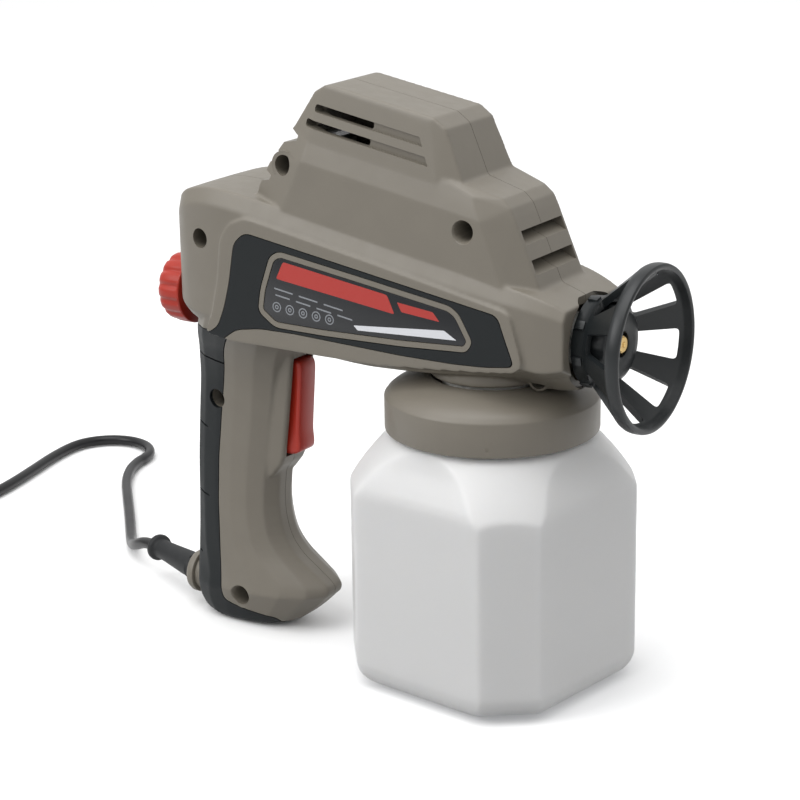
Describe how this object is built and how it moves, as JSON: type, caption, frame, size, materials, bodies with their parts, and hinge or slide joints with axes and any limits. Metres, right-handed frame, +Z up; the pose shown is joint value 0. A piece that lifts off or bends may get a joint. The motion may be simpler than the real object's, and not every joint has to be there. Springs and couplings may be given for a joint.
{
  "type": "hvlp spray gun",
  "caption": "Hand-held electric paint sprayer: slanted hood over a pistol grip, flared nozzle guard, milky screw-on container below, red trigger and knob, mains lead.",
  "frame": {"origin": "centre of the paint container's base, on the surface that the container and the handle's heel stand on", "axes": "+X forward along the nozzle, +Y to the gun's left, +Z up along the container's axis"},
  "size_m": [0.4845, 0.2088, 0.2396],
  "materials": {
    "housing_plastic": "satin moulded, beige grey",
    "soft_grip": "matt charcoal soft plastic",
    "label_film": "glossy film",
    "red_plastic": "semi-gloss moulded",
    "black_plastic": "semi-gloss moulded",
    "milky_plastic": "milky, lets light through",
    "white_nylon": "natural",
    "black_rubber": "smooth",
    "steel": "bright",
    "copper_winding": "enamelled copper wire",
    "brass": "turned"
  },
  "bodies": {
    "gun_body": {"housing_left": "housing_plastic", "housing_right": "housing_plastic", "container_lid": "housing_plastic", "cord_gland": "housing_plastic", "grip_left": "soft_grip", "grip_right": "soft_grip", "label_left": "label_film", "label_right": "label_film", "trigger_switch": "black_plastic", "spring_seat": "black_plastic", "plug_body": "black_plastic", "pump_body": "white_nylon", "suction_tube": "white_nylon", "suction_filter": "white_nylon", "coil_bobbin": "white_nylon", "cord_clamp": "white_nylon", "strain_relief": "black_rubber", "cord_tube": "black_rubber", "cord_coil": "black_rubber", "piston_spring": "steel", "armature_pin": "steel", "magnet_core": "steel", "trigger_spring": "steel", "case_screw_rear": "steel", "case_screw_hood_rear": "steel", "case_screw_hood_front": "steel", "case_screw_grip": "steel", "case_screw_foot": "steel", "coil_winding": "copper_winding", "atomizer_valve": "brass", "spindle_bush": "brass", "plug_pin_1": "brass", "plug_pin_2": "brass"},
    "trigger_and_plunger": {"trigger": "red_plastic", "switch_plunger": "white_nylon"},
    "armature_plate": {"armature": "steel"},
    "piston": {"piston": "steel"},
    "stop_buffer": {"stop_buffer": "black_rubber"},
    "stroke_knob": {"control_knob": "red_plastic", "control_spindle": "steel"},
    "nozzle": {"nozzle_tip": "brass", "nozzle_o_ring": "black_rubber"},
    "nut_and_guard": {"nozzle_nut": "black_plastic", "spray_guard": "black_plastic"},
    "gasket": {"container_gasket": "black_rubber"},
    "container": {"paint_container": "milky_plastic"}
  },
  "joints": [
    {"name": "trigger_pull", "type": "slide", "parent": "gun_body", "child": "trigger_and_plunger", "axis": [-1, 0, 0], "range_m": [0, 0.004], "stiffness_N_per_m": 400, "springref_m": -0.004, "deforming": ["trigger_spring"]},
    {"name": "armature_swing", "type": "hinge", "parent": "gun_body", "child": "armature_plate", "pos_m": [-0.0726, 0, 0.2152], "axis": [0, -1, 0], "range_deg": [0, 4], "stiffness_Nm_per_rad": 2, "springref_deg": -5.73},
    {"name": "piston_stroke", "type": "slide", "parent": "gun_body", "child": "piston", "axis": [1, 0, 0], "range_m": [0, 0.0055], "deforming": ["piston_spring"]},
    {"name": "stroke_stop_advance", "type": "slide", "parent": "gun_body", "child": "stop_buffer", "axis": [1, 0, 0], "range_m": [0, 0.0012]},
    {"name": "knob_turn", "type": "hinge", "parent": "stop_buffer", "child": "stroke_knob", "pos_m": [-0.15, 0, 0.1434], "axis": [1, 0, 0], "range_deg": [0, 270]},
    {"name": "nozzle_draw", "type": "slide", "parent": "gun_body", "child": "nozzle", "axis": [1, 0, 0], "range_m": [0, 0.0046]},
    {"name": "nut_turn", "type": "hinge", "parent": "nozzle", "child": "nut_and_guard", "pos_m": [0.052, 0, 0.1466], "axis": [1, 0, 0], "range_deg": [0, 1080]},
    {"name": "container_lower", "type": "slide", "parent": "gun_body", "child": "gasket", "axis": [0, 0, -1], "range_m": [0, 0.0085]},
    {"name": "container_turn", "type": "hinge", "parent": "gasket", "child": "container", "pos_m": [0, 0, 0.11], "axis": [0, 0, -1], "range_deg": [0, 720]}
  ],
  "couplings": [
    {"joint": "piston_stroke", "follows": "armature_swing", "m_per_rad": 0.074},
    {"joint": "stroke_stop_advance", "follows": "knob_turn", "m_per_rad": 0.00023873},
    {"joint": "nozzle_draw", "follows": "nut_turn", "m_per_rad": 0.00023873},
    {"joint": "container_lower", "follows": "container_turn", "m_per_rad": 0.00063662}
  ]
}
